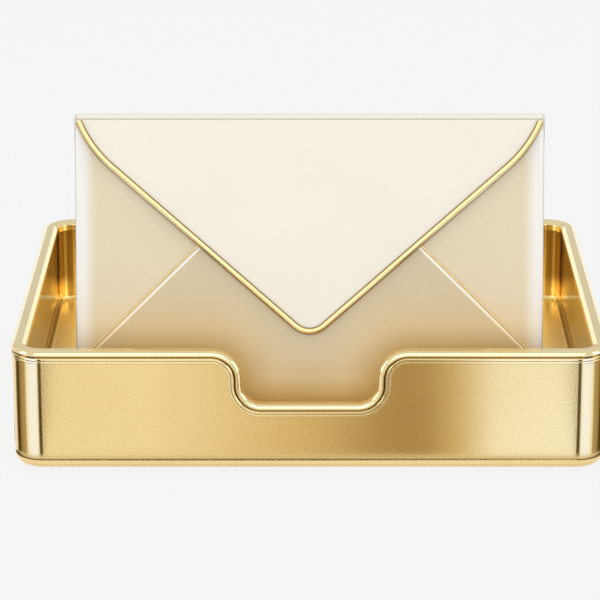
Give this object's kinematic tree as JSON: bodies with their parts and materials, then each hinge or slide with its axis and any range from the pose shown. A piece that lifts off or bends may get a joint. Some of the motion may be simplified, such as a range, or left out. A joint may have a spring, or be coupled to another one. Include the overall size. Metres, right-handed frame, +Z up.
{
  "type": "letter tray with standing envelope",
  "caption": "Open-topped gold desk letter tray with rounded corners, thick rim and a finger notch, holding a thick pointed-flap envelope that leans in a rest.",
  "frame": {"origin": "middle of the footprint, on the surface that the rubber feet stand on", "axes": "+X to the right along the front wall, +Y from the notched front wall to the back, +Z up"},
  "size_m": [0.2818, 0.2208, 0.1646],
  "materials": {
    "shell_gold": "satin gold plate with a fine grain",
    "liner_gold": "polished gold plate",
    "rim_gold": "bright polished gold plate",
    "rest_gold": "satin gold plate",
    "edge_gold": "polished gold edging",
    "steel": "zinc plated, satin",
    "foot_rubber": "matte",
    "flap_cream": "pearl satin lacquer, cream",
    "side_beige": "pearl satin lacquer, beige",
    "bottom_beige": "pearl satin lacquer, deeper beige",
    "back_cream": "pearl satin lacquer, cream",
    "card_white": "uncoated card"
  },
  "bodies": {
    "tray": {"outer_shell": "shell_gold", "inner_liner": "liner_gold", "rim_trim": "rim_gold", "corner_spacers": "steel", "rest_spacers": "steel", "rubber_feet": "foot_rubber", "corner_screws": "steel", "base_screws": "steel", "letter_rest": "rest_gold", "rest_screws": "steel"},
    "envelope": {"back_panel": "back_cream", "left_flap": "side_beige", "right_flap": "side_beige", "bottom_flap": "bottom_beige", "left_seam_cord": "edge_gold", "right_seam_cord": "edge_gold", "hinge_pin": "steel", "letter_card": "card_white"},
    "flap": {"top_flap": "flap_cream", "flap_piping": "edge_gold"}
  },
  "joints": [
    {"name": "envelope_lift", "type": "slide", "parent": "tray", "child": "envelope", "axis": [0, 0.2079, 0.9781], "range_m": [0, 0.1]},
    {"name": "flap_hinge", "type": "hinge", "parent": "envelope", "child": "flap", "pos_m": [0, -0.06158, 0.16113], "axis": [-1, 0, 0], "range_deg": [0, 180]}
  ]
}
